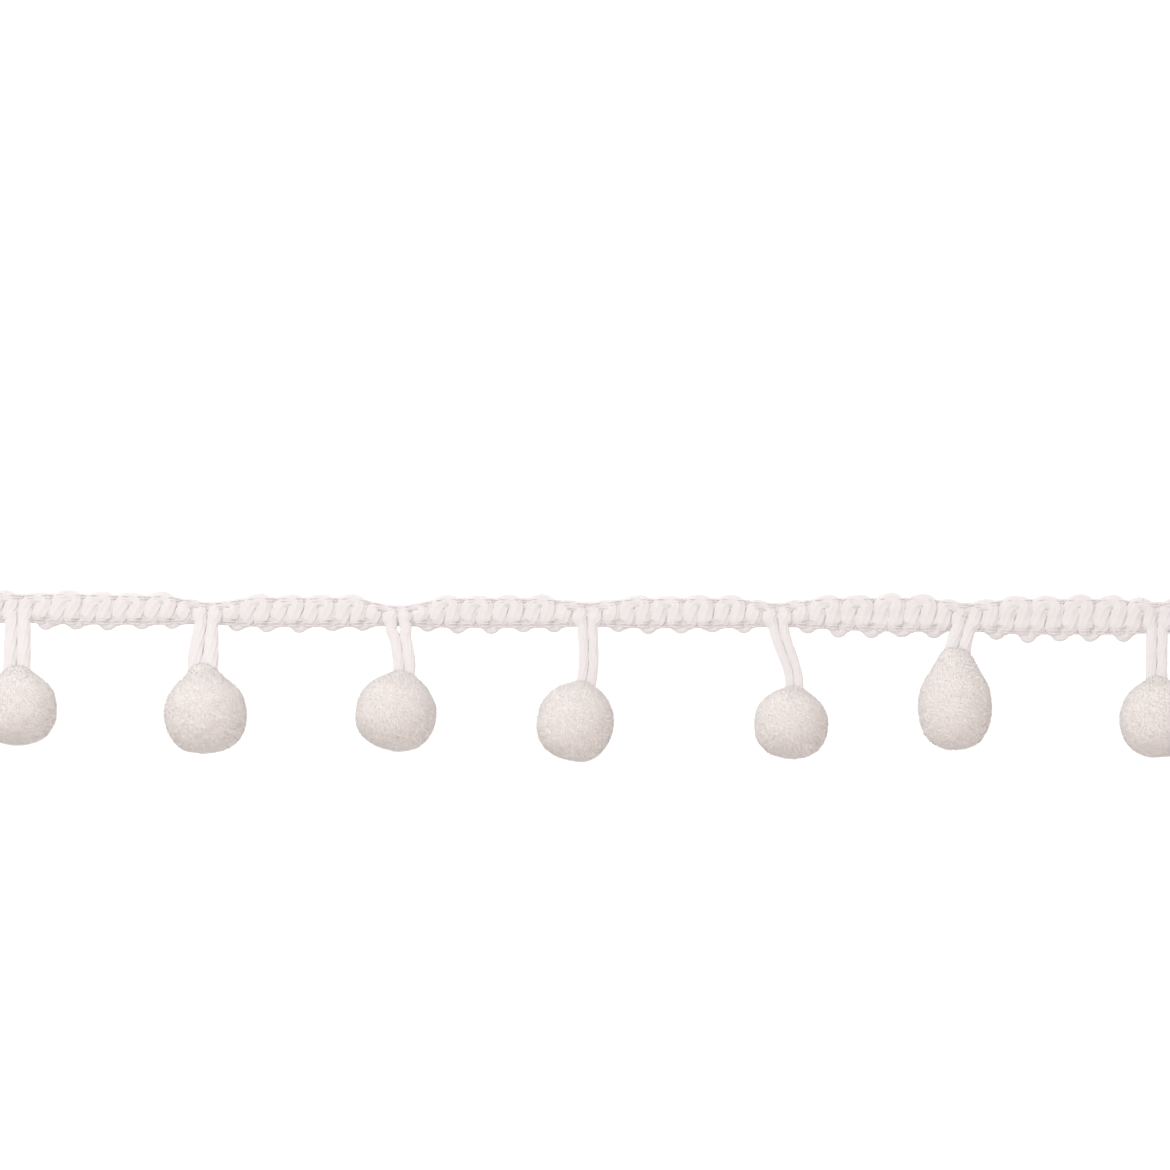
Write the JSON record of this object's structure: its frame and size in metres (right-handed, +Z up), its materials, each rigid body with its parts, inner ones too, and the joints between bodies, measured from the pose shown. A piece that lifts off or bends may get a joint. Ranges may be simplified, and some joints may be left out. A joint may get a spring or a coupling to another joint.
{
  "type": "pompom fringe trim",
  "caption": "Narrow crocheted braid with scalloped edges, from which yarn loops carry small round velvety pompoms; a straight cut length lying face up.",
  "frame": {"origin": "middle of the heading's flat back, on the surface the trim lies on", "axes": "+X along the heading, -Y from the heading towards the pompoms, +Z up out of the trim's face"},
  "size_m": [0.1625, 0.0222, 0.0105],
  "materials": {
    "heading_yarn": "matt, soft spun filling yarn",
    "loop_yarn": "matt, soft spun filling yarn",
    "pompom_pile": "matt, dense velvety cut pile"
  },
  "bodies": {
    "root": {"heading": "heading_yarn", "loop_1": "loop_yarn", "loop_2": "loop_yarn", "loop_3": "loop_yarn", "loop_4": "loop_yarn", "loop_5": "loop_yarn", "loop_6": "loop_yarn", "loop_7": "loop_yarn", "pompom_1": "pompom_pile", "pompom_2": "pompom_pile", "pompom_3": "pompom_pile", "pompom_4": "pompom_pile", "pompom_5": "pompom_pile", "pompom_6": "pompom_pile", "pompom_7": "pompom_pile"}
  },
  "joints": []
}
